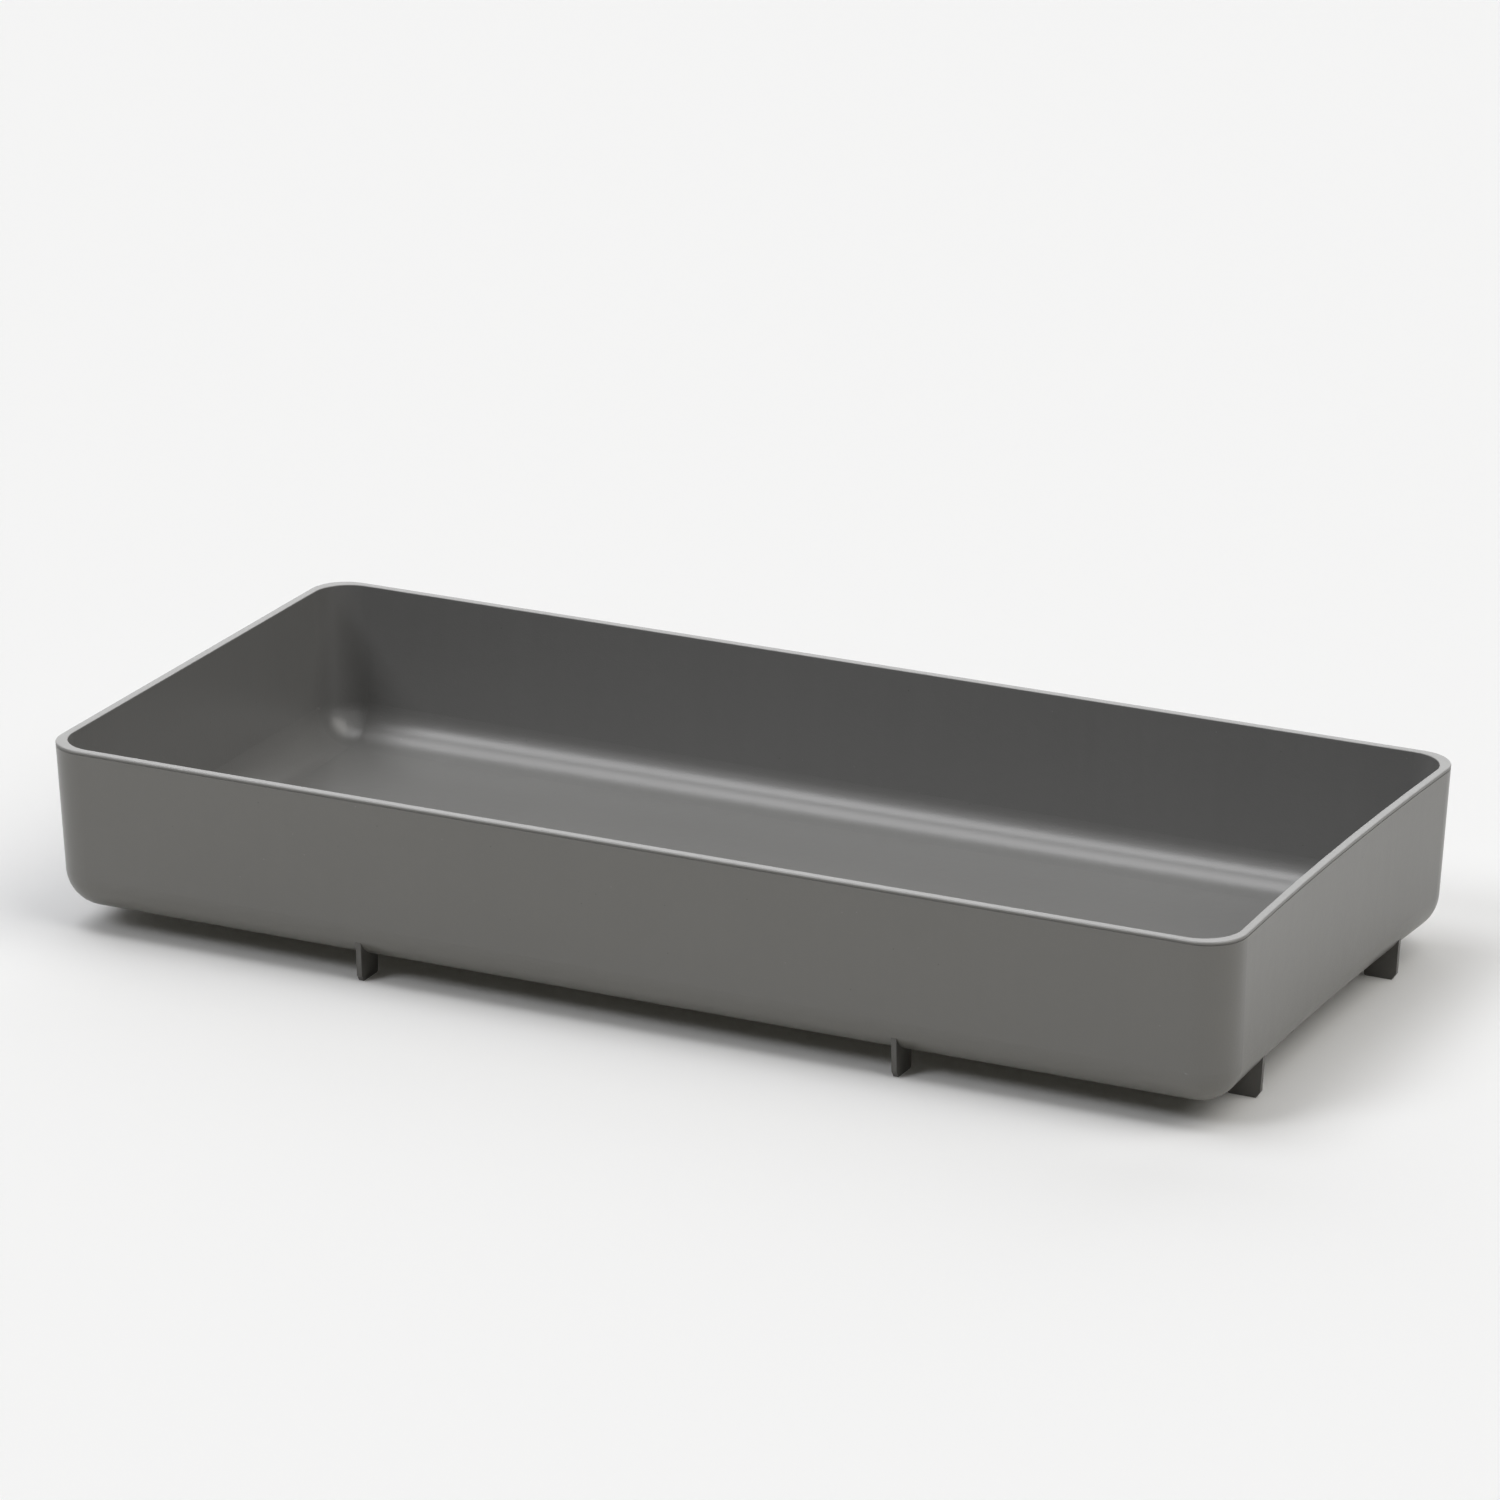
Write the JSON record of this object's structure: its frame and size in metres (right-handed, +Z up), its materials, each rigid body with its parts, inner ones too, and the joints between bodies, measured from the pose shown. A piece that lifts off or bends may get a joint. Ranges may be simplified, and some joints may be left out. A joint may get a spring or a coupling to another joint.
{
  "type": "desk accessories tray",
  "caption": "Long, low, open desk tray with drafted walls, rounded corners and a slim rim, standing clear of the table on thin blade feet.",
  "frame": {"origin": "on the table, under the middle of the tray", "axes": "+X along the length to the right end, +Y to the back, +Z up"},
  "size_m": [0.399, 0.189, 0.0615],
  "materials": {
    "shell_plastic": "mid-grey, fine satin mould grain with a few specks",
    "foot_plastic": "dark grey, smooth satin"
  },
  "bodies": {
    "root": {"tray_shell": "shell_plastic", "foot_front_left": "foot_plastic", "foot_front_right": "foot_plastic", "foot_back_left": "foot_plastic", "foot_back_right": "foot_plastic", "foot_left_front": "foot_plastic", "foot_left_back": "foot_plastic", "foot_right_front": "foot_plastic", "foot_right_back": "foot_plastic"}
  },
  "joints": []
}
